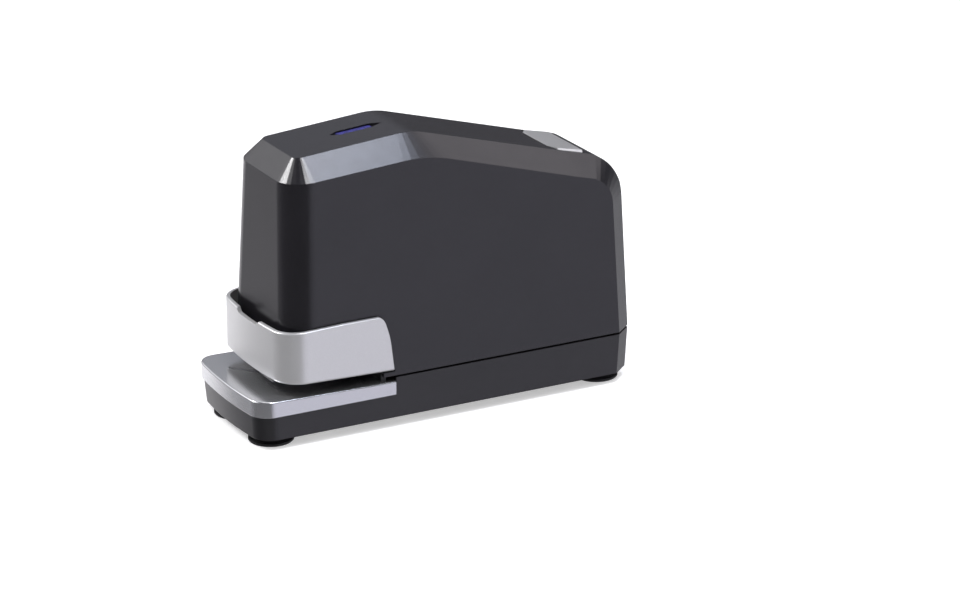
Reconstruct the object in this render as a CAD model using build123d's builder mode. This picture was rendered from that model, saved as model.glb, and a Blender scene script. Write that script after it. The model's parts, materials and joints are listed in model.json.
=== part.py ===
from build123d import *
import os
from math import atan2, cos, hypot, pi, sin, sqrt

# Electric stapler, millimetres.  +Z is up and the nose faces -Y.  The origin is on the resting
# plane, below the middle of the body.

# ---------------------------------------------------------------- driving dimensions
LENGTH = 200.0                    # overall, from the tray's front to the hood's rear
HALF_WIDTH = 35.0                 # at the seam between base and hood
BASE_BOTTOM = 5.0                 # underside of the base, which stands on rubber feet
SEAM_LOW = 25.3                   # top rim of the base
SEAM_HIGH = 26.3                  # lower rim of the hood
WALL = 2.5                        # plastic wall thickness
SIDE_DRAFT = 0.0572               # hood's side lean, inward per mm of height
FRONT_DRAFT = 0.0376              # hood's front lean
REAR_DRAFT = 0.036                # hood's rear lean
HOOD_FRONT = -81.9                # hood's front face at the seam
HOOD_CORNER = 13.15               # round of the hood's two front uprights
CROWN_HALF = 18.7                 # half width of the flat crown
REAR_CHAMFER_X = 7.6              # rear upright chamfer, across
REAR_CHAMFER_Y = 8.9              # rear upright chamfer, along

TRAY_BOTTOM = 16.85
TRAY_TOP = 23.35                  # at the throat
TRAY_FRONT_TOP = 24.6             # the top rises towards the front
TRAY_RISE_FROM = -38.0
TRAY_REAR = -28.1
TRAY_CORNER = 9.4
TRAY_BOW = 1.4                    # how far the tray's front edge bows forward

THROAT_BACK = -34.5               # how deep paper goes in
THROAT_TOP = 29.7                 # top of the plate behind the throat, below the nose
NOSE_TOP = 56.2
CHEEK_BOTTOM = 28.9               # lower edge at the cheeks' rear end
NOSE_FRONT_BOTTOM = 30.8          # the nose grows slimmer towards its front
NOSE_FRONT_TOP = 54.9
NOSE_HALF = 35.65
NOSE_CORNER = 12.8
NOSE_FRONT = -86.0                # where the nose's front meets its round corners
NOSE_BOW = 1.3
NOSE_WALL = 2.0
NOTCH_HALF = 9.6                  # finger notch in the nose's top edge
NOTCH_DEPTH = 1.7

FOOT_X = 18.9
FOOT_FRONT = -84.8
FOOT_REAR = 87.5
FOOT_RADIUS = 10.7

DRIVE_LINE = -74.7                # where the blade comes down on the anvil
COIL_Y = -48.0                    # solenoid's axis
YOKE_LOW = 64.0
YOKE_HIGH = 108.0
PLATE_IN = 21.0                   # inner face of each frame side plate
PLATE_OUT = 22.5
CLEARANCE = 0.3

BUTTON_FRONT = 64.2
BUTTON_REAR = 80.5
BUTTON_HALF = 17.0
BUTTON_FRONT_HALF = 12.0
BUTTON_CORNER = 3.4               # how far back the cut front corners reach
LATCH_Y = 66.0
LATCH_Z = 51.0
TRIGGER_Y = -40.0
TRIGGER_Z = 12.6
COLUMN_FRONT = -32.0              # front edge of the frame's column, behind the throat

os.makedirs("parts", exist_ok=True)


# ---------------------------------------------------------------- helpers
def save(piece, name):
    """Label a finished piece and write it as the node of that name."""
    piece.part.label = name
    export_step(piece.part, f"parts/{name}.step")


def block(low, high, mode=Mode.ADD):
    """A box between two corners, in the piece being built."""
    size = [b - a for a, b in zip(low, high)]
    with Locations(tuple(low)):
        Box(*size, align=(Align.MIN, Align.MIN, Align.MIN), mode=mode)


def post(x, y, low, high, radius, mode=Mode.ADD):
    """An upright round bar or hole."""
    with Locations((x, y, low)):
        Cylinder(radius, high - low, align=(Align.CENTER, Align.CENTER, Align.MIN), mode=mode)


def cross_bar(y, z, left, right, radius, mode=Mode.ADD):
    """A round bar or hole that lies along X."""
    with Locations(Location((left, y, z), (0, 90, 0))):
        Cylinder(radius, right - left, align=(Align.CENTER, Align.CENTER, Align.MIN), mode=mode)


def tube(x, y, low, high, outer, inner):
    """An upright ring or tube."""
    post(x, y, low, high, outer)
    post(x, y, low, high, inner, mode=Mode.SUBTRACT)


def both_sides(x, y):
    """The same place left and right of the middle."""
    return [(-x, y), (x, y)]


def coil_spring(place, length, radius, wire, turns):
    """A round-wire compression spring of radius to the wire's middle, along place's Z axis."""
    with BuildPart() as spring:
        with BuildLine():
            path = Helix((length - 2 * wire) / turns, length - 2 * wire, radius,
                         center=place.origin + place.z_dir * wire, direction=place.z_dir)
        with BuildSketch(Plane(origin=path @ 0, z_dir=path % 0)):
            Circle(wire)
        sweep(path=path, is_frenet=True)
    return spring


def half_width(z):
    return HALF_WIDTH - SIDE_DRAFT * (z - SEAM_HIGH)


def front_at(z):
    return HOOD_FRONT + FRONT_DRAFT * (z - SEAM_HIGH)


def rear_at(z):
    return LENGTH / 2 - REAR_DRAFT * (z - SEAM_HIGH)


# ---------------------------------------------------------------- hood form
# Two lines in side view bound the chamfer band that runs round the hood's top: the crown line
# above it and the shoulder line below it.  Each is straight runs joined by rounds.
HOOD_TOP = 150.0                  # above everything
CROWN = [(-70.1, 132.7), (-11.7, 137.7), (70.0, 115.4), (97.6, 108.6), (100.5, 18.0)]
SHOULDER = [(-65.1, 123.85), (-8.1, 128.0), (71.0, 105.8), (88.35, 101.54), (91.4, 18.0)]
PEAK_ROUND = 38.0
SHOULDER_PEAK_ROUND = 72.0
CROWN_REAR_ROUND = 21.0
SHOULDER_REAR_ROUND = 14.0
FRONT_SHOULDER = 122.9            # height of the shoulder across the front
CROWN_FRONT_ROUND = 4.0
CORNER_STEPS = 9                  # rulings round each upper front corner


def moved_in(points, inset):
    """A side-view line moved inward by inset: each run shifts along its own normal."""
    if inset == 0:
        return list(points)
    runs = []
    for (y0, z0), (y1, z1) in zip(points, points[1:]):
        size = hypot(y1 - y0, z1 - z0)
        ny, nz = (z1 - z0) / size, -(y1 - y0) / size
        runs.append(((y0 + ny * inset, z0 + nz * inset), ((y1 - y0) / size, (z1 - z0) / size)))
    out = [runs[0][0]]
    for (p, u), (q, v) in zip(runs, runs[1:]):
        cross = u[0] * v[1] - u[1] * v[0]
        if abs(cross) < 1e-6:
            out.append(q)
            continue
        t = ((q[0] - p[0]) * v[1] - (q[1] - p[1]) * v[0]) / cross
        out.append((p[0] + u[0] * t, p[1] + u[1] * t))
    last, way = runs[-1]
    size = hypot(points[-1][0] - points[-2][0], points[-1][1] - points[-2][1])
    out.append((last[0] + way[0] * size, last[1] + way[1] * size))
    return out


def round_points(before, corner, after, radius, count):
    """Points evenly along the round that replaces a corner."""
    a = (before[0] - corner[0], before[1] - corner[1])
    b = (after[0] - corner[0], after[1] - corner[1])
    a = (a[0] / hypot(*a), a[1] / hypot(*a))
    b = (b[0] / hypot(*b), b[1] / hypot(*b))
    half = sqrt((1 - (a[0] * b[0] + a[1] * b[1])) / 2)
    middle = (a[0] + b[0], a[1] + b[1])
    size = hypot(*middle)
    centre = (corner[0] + middle[0] / size * radius / half, corner[1] + middle[1] / size * radius / half)
    reach = radius * sqrt(1 - half * half) / half
    start = (corner[0] + a[0] * reach - centre[0], corner[1] + a[1] * reach - centre[1])
    end = (corner[0] + b[0] * reach - centre[0], corner[1] + b[1] * reach - centre[1])
    first = atan2(start[1], start[0])
    turn = atan2(end[1], end[0]) - first
    turn = (turn + pi) % (2 * pi) - pi
    steps = [first + turn * i / count for i in range(count + 1)]
    return [(centre[0] + radius * cos(s), centre[1] + radius * sin(s)) for s in steps]


def band_stations(inset):
    """Pairs (shoulder point, crown point) from the middle of the front to the rear foot, x > 0."""
    crown = moved_in(CROWN, inset)
    shoulder = moved_in(SHOULDER, 0.48 * inset)
    crown_half = CROWN_HALF - 0.37 * inset
    low_z = FRONT_SHOULDER - 0.48 * inset
    front = front_at(FRONT_SHOULDER) + inset
    big = HOOD_CORNER - inset
    small = CROWN_FRONT_ROUND
    side_x = half_width(FRONT_SHOULDER) - inset
    crown_y = CROWN[0][0] + 0.3 * inset
    crown_z = crown[0][1]
    stations = [((0, front, low_z), (0, crown_y, crown_z))]
    for i in range(CORNER_STEPS + 1):
        angle = -pi / 2 + i / CORNER_STEPS * pi / 2
        rise = (shoulder[0][1] - low_z) * i / CORNER_STEPS
        low = (side_x - big + big * cos(angle), front + big + big * sin(angle), low_z + rise)
        high_y = crown_y + small + small * sin(angle)
        slope = (crown[1][1] - crown[0][1]) / (crown[1][0] - crown[0][0])
        high = (crown_half - small + small * cos(angle), high_y, crown_z + slope * (high_y - crown_y))
        stations.append((low, high))
    bend_low = round_points(*shoulder[0:3], SHOULDER_PEAK_ROUND, 6)
    bend_high = round_points(*crown[0:3], PEAK_ROUND, 6)
    for low, high in zip(bend_low, bend_high):
        stations.append(((half_width(low[1]) - inset, *low), (crown_half, *high)))
    stations.append(((half_width(shoulder[2][1]) - inset, *shoulder[2]), (crown_half, *crown[2])))
    rear_low = round_points(*shoulder[2:5], SHOULDER_REAR_ROUND - 0.48 * inset, 8)
    rear_high = round_points(*crown[2:5], CROWN_REAR_ROUND - inset, 8)
    for i, (low, high) in enumerate(zip(rear_low, rear_high)):
        end_x = half_width(high[1]) - inset - REAR_CHAMFER_X
        share = (i + 2) / 10
        high_x = crown_half + (end_x - crown_half) * share
        stations.append(((half_width(low[1]) - inset, *low), (high_x, *high)))
    foot_z = shoulder[4][1]
    foot_x = half_width(foot_z) - inset
    foot_low = (foot_x, rear_at(foot_z) - inset - REAR_CHAMFER_Y, foot_z)
    foot_high = (foot_x - REAR_CHAMFER_X, rear_at(foot_z) - inset, foot_z)
    stations.append((foot_low, foot_high))
    return stations


def band_cutter(inset, side):
    """What the chamfer band takes off one side of the hood: a ruled loft of triangles."""
    stations = [(Vector(*low), Vector(*high)) for low, high in band_stations(inset)]
    sections = []
    for i, (low, high) in enumerate(stations):
        before = stations[max(i - 1, 0)]
        after = stations[min(i + 1, len(stations) - 1)]
        along = (after[0] + after[1]) - (before[0] + before[1])
        if i == 0:
            along = Vector(1, 0, 0)
        out = (high - low).cross(along).normalized()
        if out.dot((low + high) * 0.5 - Vector(0, 10, 60)) < 0:
            out = out * -1
        far = (low + high) * 0.5 + out * 30
        edge = (high - low) * 0.3
        corners = [low - edge, high + edge, far]
        corners = [Vector(side * c.X, c.Y, c.Z) for c in corners]
        sections.append(Face(Wire.make_polygon(corners)))
    return Solid.make_loft([s.outer_wire() for s in sections], ruled=True)


def hood_form(inset, low):
    """The hood's closed outer form, or the same form moved inward by inset, above height low."""
    with BuildPart() as form:
        for height in (low, HOOD_TOP):
            half = half_width(height) - inset
            front = front_at(height) + inset
            rear = rear_at(height) - inset
            with BuildSketch(Plane.XY.offset(height)) as plan:
                with BuildLine():
                    Polyline((-half, front), (-half, rear), (half, rear), (half, front), close=True)
                make_face()
                fillet(plan.vertices().group_by(Axis.Y)[0], HOOD_CORNER - inset)
        loft(ruled=True)
        crown = moved_in(CROWN, inset)
        with BuildSketch(Plane.YZ) as side:
            with BuildLine():
                lean = (crown[1][1] - crown[0][1]) / (crown[1][0] - crown[0][0])
                start = (-95.0, crown[0][1] + lean * (-95.0 - crown[0][0]))
                Polyline(start, crown[1], crown[2], crown[3], crown[4], (-95.0, crown[4][1]), close=True)
            make_face()
            fillet(side.vertices().sort_by_distance(crown[1])[0], PEAK_ROUND)
            fillet(side.vertices().sort_by_distance(crown[3])[0], CROWN_REAR_ROUND - inset)
        extrude(amount=HALF_WIDTH + 5, both=True, mode=Mode.INTERSECT)
        for side_sign in (1, -1):
            add(band_cutter(inset, side_sign), mode=Mode.SUBTRACT)
    return form.part


# ---------------------------------------------------------------- base
TRAY_FRONT = -LENGTH / 2 + TRAY_BOW         # front edge where its bow starts
TRAY_LIP = 1.0                              # tray's overhang beyond the base
BASE_TAPER = 1.5                            # base's narrowing down to its underside
REAR_TAPER = 0.4
FLOOR_TOP = BASE_BOTTOM + WALL
TONGUE = 1.2                                # tongue that closes the seam from inside
TONGUE_HIGH = 27.8
TONGUE_FRONT = -26.5
CASE_SCREWS = both_sides(26.9, -19.0) + both_sides(26.9, 71.0)
TRAY_SCREWS = both_sides(27.5, -62.0)
FRAME_SCREWS = both_sides(14.0, -52.0) + both_sides(14.0, 46.0)
SCREW_RADIUS = 1.5
SCREW_HEAD = 3.0
HEAD_LOW = 5.3
HEAD_HIGH = 6.8
HOOD_POST = 4.0
HOOD_POST_TOP = 70.0
INLET_HALF = 8.0
INLET_LOW = 10.0
INLET_HIGH = 20.0
INLET_FRONT = 82.0
FEET = {
    "foot_front_left": (-FOOT_X, FOOT_FRONT),
    "foot_front_right": (FOOT_X, FOOT_FRONT),
    "foot_rear_left": (-FOOT_X, FOOT_REAR),
    "foot_rear_right": (FOOT_X, FOOT_REAR),
}
FOOT_PLUG = 3.0


def front_end(half, front, bow, corner):
    """Where a bowed front meets its round corner, where that corner meets the side, and its direction."""
    width = half - corner
    radius = (width ** 2 + bow ** 2) / (2 * bow)
    centre = front - bow + radius
    side_y = centre - sqrt((radius - corner) ** 2 - width ** 2)
    spread = radius / (radius - corner)
    end_x = width * spread
    end_y = centre + (side_y - centre) * spread
    return end_x, end_y, side_y, (centre - end_y, end_x)


def base_plan(half, front, rear, corner, rear_cut=(REAR_CHAMFER_X, REAR_CHAMFER_Y), mode=Mode.ADD):
    """Plan of base and tray: bowed front, round front corners, rear corners cut off."""
    end_x, end_y, side_y, (run_x, run_y) = front_end(half, front, TRAY_BOW, corner)
    cut_x, cut_y = rear_cut
    with BuildLine() as line:
        ThreePointArc((-end_x, end_y), (0, front - TRAY_BOW), (end_x, end_y))
        TangentArc((end_x, end_y), (half, side_y), tangent=(run_x, run_y))
        Polyline((half, side_y), (half, rear - cut_y), (half - cut_x, rear))
        Line((half - cut_x, rear), (cut_x - half, rear))
        Polyline((cut_x - half, rear), (-half, rear - cut_y), (-half, side_y))
        TangentArc((-end_x, end_y), (-half, side_y), tangent=(-run_x, run_y))
    make_face(line.edges(), mode=mode)


with BuildPart() as base_shell:
    for inset in (0.0, WALL):
        low = BASE_BOTTOM + inset
        with BuildSketch(Plane.XY.offset(low)):
            base_plan(HALF_WIDTH - BASE_TAPER - inset, TRAY_FRONT + TRAY_LIP + BASE_TAPER / 2 + inset,
                      LENGTH / 2 - REAR_TAPER - inset, TRAY_CORNER - inset)
        with BuildSketch(Plane.XY.offset(SEAM_LOW)):
            base_plan(HALF_WIDTH - inset, TRAY_FRONT + TRAY_LIP - BASE_TAPER / 2 + inset,
                      LENGTH / 2 - inset, TRAY_CORNER - inset)
        loft(ruled=True, mode=Mode.ADD if inset == 0 else Mode.SUBTRACT)
    # ledge on the wall, and the tongue on it that stands inside the hood's rim
    tongue_half = HALF_WIDTH - WALL - CLEARANCE
    tongue_rear = LENGTH / 2 - WALL - CLEARANCE
    for low, high, extra in ((SEAM_LOW - 5, SEAM_LOW - 1, 1.0), (SEAM_LOW - 5, TONGUE_HIGH, 0.0)):
        with BuildSketch(Plane.XY.offset(low)) as ring:
            base_plan(tongue_half + extra, TONGUE_FRONT, tongue_rear + extra, TONGUE)
            base_plan(tongue_half - TONGUE, TONGUE_FRONT - 9, tongue_rear - TONGUE, TONGUE,
                      mode=Mode.SUBTRACT)
        extrude(ring.sketch, amount=high - low)
    # sleeves for the screws, standing on the floor
    for x, y in CASE_SCREWS:
        post(x, y, FLOOR_TOP, SEAM_LOW, HOOD_POST)
    for x, y in TRAY_SCREWS:
        post(x, y, FLOOR_TOP, TRAY_BOTTOM, HOOD_POST)
    # step that the tray lies in
    block((-HALF_WIDTH - 1, -LENGTH, TRAY_BOTTOM), (HALF_WIDTH + 1, TRAY_REAR, SEAM_HIGH + 9),
          mode=Mode.SUBTRACT)
    for x, y in CASE_SCREWS + TRAY_SCREWS + FRAME_SCREWS:
        post(x, y, BASE_BOTTOM, SEAM_LOW, SCREW_RADIUS + 0.1, mode=Mode.SUBTRACT)
        post(x, y, BASE_BOTTOM, HEAD_HIGH, SCREW_HEAD + 0.2, mode=Mode.SUBTRACT)
    for x, y in FEET.values():
        post(x, y, BASE_BOTTOM, FLOOR_TOP, FOOT_PLUG + 0.05, mode=Mode.SUBTRACT)
    block((-INLET_HALF, LENGTH / 2 - 6, INLET_LOW), (INLET_HALF, LENGTH / 2 + 1, INLET_HIGH),
          mode=Mode.SUBTRACT)
save(base_shell, "base_shell")

for name, (x, y) in FEET.items():
    with BuildPart() as foot:
        with BuildSketch(Plane.XZ) as half_section:
            with BuildLine() as line:
                Polyline((0, 0), (FOOT_RADIUS - 0.5, 0), (FOOT_RADIUS, 0.5), (FOOT_RADIUS, 1.4))
                ThreePointArc((FOOT_RADIUS, 1.4), (FOOT_RADIUS - 2.2, 2.2), (FOOT_RADIUS - 3.2, 3.6))
                Polyline((FOOT_RADIUS - 3.2, 3.6), (FOOT_RADIUS - 3.2, BASE_BOTTOM), (FOOT_PLUG, BASE_BOTTOM),
                         (FOOT_PLUG, FLOOR_TOP - 0.1), (0, FLOOR_TOP - 0.1), (0, 0))
            make_face()
        revolve(axis=Axis.Z)
    foot.part = foot.part.moved(Location((x, y, 0)))
    save(foot, name)

with BuildPart() as base_screws:
    for places, tip in ((CASE_SCREWS, 40.0), (TRAY_SCREWS, 21.0), (FRAME_SCREWS, 9.5)):
        for x, y in places:
            post(x, y, HEAD_LOW, HEAD_HIGH, SCREW_HEAD)
            post(x, y, HEAD_HIGH, tip, SCREW_RADIUS)
save(base_screws, "base_screws")

with BuildPart() as power_inlet:
    block((-INLET_HALF, INLET_FRONT, INLET_LOW), (INLET_HALF, LENGTH / 2 - 1.4, INLET_HIGH))
    socket_z = (INLET_LOW + INLET_HIGH) / 2
    with Locations(Location((0, LENGTH / 2 - 1.4, socket_z), (90, 0, 0))):
        Cylinder(3.2, 10, align=(Align.CENTER, Align.CENTER, Align.MIN), mode=Mode.SUBTRACT)
    with Locations(Location((0, LENGTH / 2 - 3.0, socket_z), (90, 0, 0))):
        Cylinder(1.0, 9, align=(Align.CENTER, Align.CENTER, Align.MIN))
save(power_inlet, "power_inlet")

# ---------------------------------------------------------------- tray and anvil
ANVIL_HALF = 10.0
ANVIL_LENGTH = 9.0
ANVIL_TOP = 24.5
CHASSIS_TOP = 9.5
TRAY_SKIN = 2.2
RIDGE_FROM = (-15.6, -89.6)                 # the low diagonal ridge that points at the anvil
RIDGE_TO = (-4.6, -79.5)
RIDGE_WIDTH = 1.2
RIDGE_HEIGHT = 0.35
TRIGGER_HALF = 2.4

with BuildPart() as anvil_tray:
    with BuildSketch(Plane.XY.offset(TRAY_BOTTOM)) as plan:
        base_plan(HALF_WIDTH, TRAY_FRONT, TRAY_REAR, TRAY_CORNER, rear_cut=(0.01, 0.01))
    extrude(plan.sketch, amount=TRAY_FRONT_TOP - TRAY_BOTTOM)
    with BuildSketch(Plane.YZ) as profile:
        with BuildLine():
            Polyline((-LENGTH / 2, TRAY_BOTTOM), (-LENGTH / 2, TRAY_FRONT_TOP), (TRAY_RISE_FROM, TRAY_TOP),
                     (TRAY_REAR, TRAY_TOP), (TRAY_REAR, TRAY_BOTTOM), close=True)
        make_face()
    extrude(profile.sketch, amount=HALF_WIDTH, both=True, mode=Mode.INTERSECT)
    top_faces = [f for f in anvil_tray.faces() if f.normal_at().Z > 0.9]
    rim = ShapeList(e for f in top_faces for e in f.edges())
    outer_rim = rim.filter_by(lambda e: abs(e.center().X) > 5 or e.center().Y < -90)
    fillet(outer_rim.filter_by(lambda e: e.center().Y < TRAY_REAR - 1), 0.8)
    with BuildSketch(Plane.XY.offset(TRAY_BOTTOM)) as pocket:
        base_plan(HALF_WIDTH - 3.4, TRAY_FRONT + 4.4, TRAY_REAR - TRAY_SKIN, TRAY_CORNER - 3.4)
    extrude(pocket.sketch, amount=TRAY_TOP - TRAY_BOTTOM - TRAY_SKIN, mode=Mode.SUBTRACT)
    for x, y in TRAY_SCREWS:
        tube(x, y, TRAY_BOTTOM, TRAY_TOP - TRAY_SKIN, HOOD_POST, SCREW_RADIUS + 0.1)
    length = hypot(RIDGE_TO[0] - RIDGE_FROM[0], RIDGE_TO[1] - RIDGE_FROM[1])
    turn = atan2(RIDGE_TO[1] - RIDGE_FROM[1], RIDGE_TO[0] - RIDGE_FROM[0]) * 180 / pi
    rise = atan2(TRAY_FRONT_TOP - TRAY_TOP, TRAY_RISE_FROM + LENGTH / 2)
    sloping_top = Plane((0, TRAY_RISE_FROM, TRAY_TOP), x_dir=(1, 0, 0), z_dir=(0, sin(rise), cos(rise)))
    ridge_end = Location((RIDGE_FROM[0], RIDGE_FROM[1] - TRAY_RISE_FROM, -0.5), (0, 0, turn))
    with Locations(sloping_top * ridge_end):
        Box(length, RIDGE_WIDTH, RIDGE_HEIGHT + 0.5, align=(Align.MIN, Align.CENTER, Align.MIN))
    block((-ANVIL_HALF - 0.1, DRIVE_LINE - ANVIL_LENGTH / 2 - 0.1, TRAY_BOTTOM),
          (ANVIL_HALF + 0.1, DRIVE_LINE + ANVIL_LENGTH / 2 + 0.1, TRAY_TOP + 1), mode=Mode.SUBTRACT)
    block((-TRIGGER_HALF - 0.6, TRIGGER_Y - 1.8, TRAY_BOTTOM),
          (TRIGGER_HALF + 0.6, TRIGGER_Y + 5.2, TRAY_TOP + 1), mode=Mode.SUBTRACT)
    # its rear wall is open for the frame
    block((-PLATE_OUT - 2, COLUMN_FRONT, TRAY_BOTTOM), (PLATE_OUT + 2, TRAY_REAR, TRAY_TOP),
          mode=Mode.SUBTRACT)
save(anvil_tray, "anvil_tray")

with BuildPart() as anvil_plate:
    block((-ANVIL_HALF, DRIVE_LINE - ANVIL_LENGTH / 2, TRAY_BOTTOM),
          (ANVIL_HALF, DRIVE_LINE + ANVIL_LENGTH / 2, ANVIL_TOP))
    # two shallow round grooves turn the staple's legs inward
    for side in (-1, 1):
        with BuildSketch(Plane.XZ.offset(-DRIVE_LINE - 0.9)) as groove:
            with BuildLine() as line:
                ThreePointArc((side * 0.6, ANVIL_TOP), (side * 3.9, ANVIL_TOP - 0.9), (side * 7.2, ANVIL_TOP))
                Line((side * 7.2, ANVIL_TOP), (side * 0.6, ANVIL_TOP))
            make_face()
        extrude(amount=1.8, mode=Mode.SUBTRACT)
save(anvil_plate, "anvil_plate")

with BuildPart() as anvil_block:
    block((-12, DRIVE_LINE - 6, CHASSIS_TOP), (12, DRIVE_LINE + 6, TRAY_BOTTOM))
save(anvil_block, "anvil_block")

# ---------------------------------------------------------------- chassis
CHASSIS_FRONT = -86.0
CHASSIS_REAR = 72.0
ARM_LOW = 16.5                              # top of the lower arm, under the tray
HEAD_FRONT = -74.0
HEAD_REAR = -24.0
HEAD_LOW_Z = 32.0                           # underside of the upper arm, above the drawer's floor
DECK = 66.0
UPRIGHT_TOP = 94.0
UPRIGHT_FRONT = 58.0
TRIGGER_PIN = 1.2
LATCH_PIN = 1.5
YOKE_SCREWS = [(y, z) for y in (-62.0, -34.0) for z in (74.0, 98.0)]

with BuildPart() as chassis_floor:
    block((-PLATE_IN, CHASSIS_FRONT, FLOOR_TOP), (PLATE_IN, CHASSIS_REAR, CHASSIS_TOP))
    for x, y in FRAME_SCREWS:
        post(x, y, FLOOR_TOP, CHASSIS_TOP, SCREW_RADIUS + 0.05, mode=Mode.SUBTRACT)
save(chassis_floor, "chassis_floor")

for name, left in (("frame_plate_left", -PLATE_OUT), ("frame_plate_right", PLATE_IN)):
    with BuildPart() as plate:
        with BuildSketch(Plane.YZ.offset(left)) as profile:
            with BuildLine():
                Polyline((CHASSIS_FRONT, FLOOR_TOP), (CHASSIS_REAR, FLOOR_TOP), (CHASSIS_REAR, UPRIGHT_TOP),
                         (UPRIGHT_FRONT, UPRIGHT_TOP), (UPRIGHT_FRONT, DECK), (HEAD_REAR, DECK),
                         (HEAD_REAR, YOKE_HIGH), (HEAD_FRONT, YOKE_HIGH), (HEAD_FRONT, HEAD_LOW_Z),
                         (COLUMN_FRONT, HEAD_LOW_Z), (COLUMN_FRONT, ARM_LOW), (CHASSIS_FRONT, ARM_LOW),
                         close=True)
            make_face()
            with Locations((TRIGGER_Y, TRIGGER_Z)):
                Circle(TRIGGER_PIN + 0.02, mode=Mode.SUBTRACT)
            with Locations((LATCH_Y, LATCH_Z)):
                Circle(LATCH_PIN + 0.02, mode=Mode.SUBTRACT)
            with Locations(*YOKE_SCREWS):
                Circle(SCREW_RADIUS + 0.05, mode=Mode.SUBTRACT)
        extrude(amount=PLATE_OUT - PLATE_IN)
    save(plate, name)

with BuildPart() as frame_spacers:
    for y, z in ((-26.0, 21.0), (50.0, 21.0), (-12.0, 58.0), (36.0, 58.0)):
        cross_bar(y, z, -PLATE_IN, PLATE_IN, 3.0)
save(frame_spacers, "frame_spacers")

BOARD_LOW = 72.0
BOARD_TOP = 73.6
DECK_TOP = DECK + 1.5
with BuildPart() as deck_plate:
    block((-PLATE_OUT, HEAD_REAR + 2, DECK), (PLATE_OUT, UPRIGHT_FRONT - 2, DECK_TOP))
    for x, y in both_sides(17.0, -15.0) + both_sides(17.0, 49.0):
        post(x, y, DECK_TOP, BOARD_LOW, 2.5)
save(deck_plate, "deck_plate")

with BuildPart() as throat_plate:
    throat_half = HALF_WIDTH - 3.0
    block((-throat_half, THROAT_BACK, TRAY_TOP), (throat_half, COLUMN_FRONT, THROAT_TOP))
save(throat_plate, "throat_plate")

# ---------------------------------------------------------------- paper trigger
TRIGGER_TIP = 28.4
with BuildPart() as trigger_lever:
    with BuildSketch(Plane.YZ.offset(-TRIGGER_HALF)) as profile:
        with Locations((TRIGGER_Y, TRIGGER_Z)):
            Circle(2.9)
        with BuildLine():
            Polyline((TRIGGER_Y - 1, TRIGGER_Z), (TRIGGER_Y + 1.4, TRIGGER_Z), (TRIGGER_Y + 1, TRIGGER_TIP),
                     (TRIGGER_Y - 1, TRIGGER_TIP), close=True)
        make_face()
        with BuildLine():
            Polyline((TRIGGER_Y, TRIGGER_Z - 1.6), (TRIGGER_Y + 6, TRIGGER_Z - 1.2),
                     (TRIGGER_Y + 6, TRIGGER_Z + 0.6), (TRIGGER_Y, TRIGGER_Z + 1.6), close=True)
        make_face()
        with Locations((TRIGGER_Y, TRIGGER_Z)):
            Circle(TRIGGER_PIN + 0.05, mode=Mode.SUBTRACT)
    extrude(amount=2 * TRIGGER_HALF)
save(trigger_lever, "trigger_lever")

with BuildPart() as trigger_pin:
    cross_bar(TRIGGER_Y, TRIGGER_Z, -PLATE_OUT, PLATE_OUT, TRIGGER_PIN)
save(trigger_pin, "trigger_pin")

trigger_spring = coil_spring(Plane(origin=(TRIGGER_HALF + 0.6, TRIGGER_Y, TRIGGER_Z), z_dir=(1, 0, 0)),
                             5.0, 1.9, 0.3, 5)
save(trigger_spring, "trigger_spring")

with BuildPart() as trigger_switch:
    block((-3, TRIGGER_Y + 7, CHASSIS_TOP), (3, TRIGGER_Y + 17, CHASSIS_TOP + 7))
    block((-1, TRIGGER_Y + 6.4, CHASSIS_TOP + 1.6), (1, TRIGGER_Y + 7, CHASSIS_TOP + 3.2))
save(trigger_switch, "trigger_switch")

# ---------------------------------------------------------------- solenoid
PLUNGER_RADIUS = 8.2
PLUNGER_LOW = 82.0
PLUNGER_HIGH = 126.5
CAP_HIGH = 129.0
CAP_RADIUS = 12.0
ROD_RADIUS = 3.0
BOBBIN_LOW = YOKE_LOW + 4.2
BOBBIN_HIGH = YOKE_HIGH - 4.2
COIL_RADIUS = 15.4
CARRIER_LOW = 60.5
CARRIER_HIGH = 63.5

with BuildPart() as solenoid_yoke:
    block((-PLATE_IN, COIL_Y - 22, YOKE_LOW), (PLATE_IN, COIL_Y + 22, YOKE_HIGH))
    block((5 - PLATE_IN, COIL_Y - 23, YOKE_LOW + 4), (PLATE_IN - 5, COIL_Y + 23, YOKE_HIGH - 4),
          mode=Mode.SUBTRACT)
    post(0, COIL_Y, YOKE_LOW, YOKE_LOW + 4, ROD_RADIUS + 0.3, mode=Mode.SUBTRACT)
    post(0, COIL_Y, YOKE_HIGH - 4, YOKE_HIGH, PLUNGER_RADIUS + 0.3, mode=Mode.SUBTRACT)
    for y, z in YOKE_SCREWS:
        cross_bar(y, z, -PLATE_IN, 5 - PLATE_IN, SCREW_RADIUS + 0.05, mode=Mode.SUBTRACT)
        cross_bar(y, z, PLATE_IN - 5, PLATE_IN, SCREW_RADIUS + 0.05, mode=Mode.SUBTRACT)
save(solenoid_yoke, "solenoid_yoke")

with BuildPart() as yoke_screws:
    for y, z in YOKE_SCREWS:
        for side in (-1, 1):
            shank = sorted((side * (PLATE_IN - 4.5), side * PLATE_OUT))
            head = sorted((side * PLATE_OUT, side * (PLATE_OUT + 1.8)))
            cross_bar(y, z, *shank, SCREW_RADIUS)
            cross_bar(y, z, *head, SCREW_HEAD)
save(yoke_screws, "yoke_screws")

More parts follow.
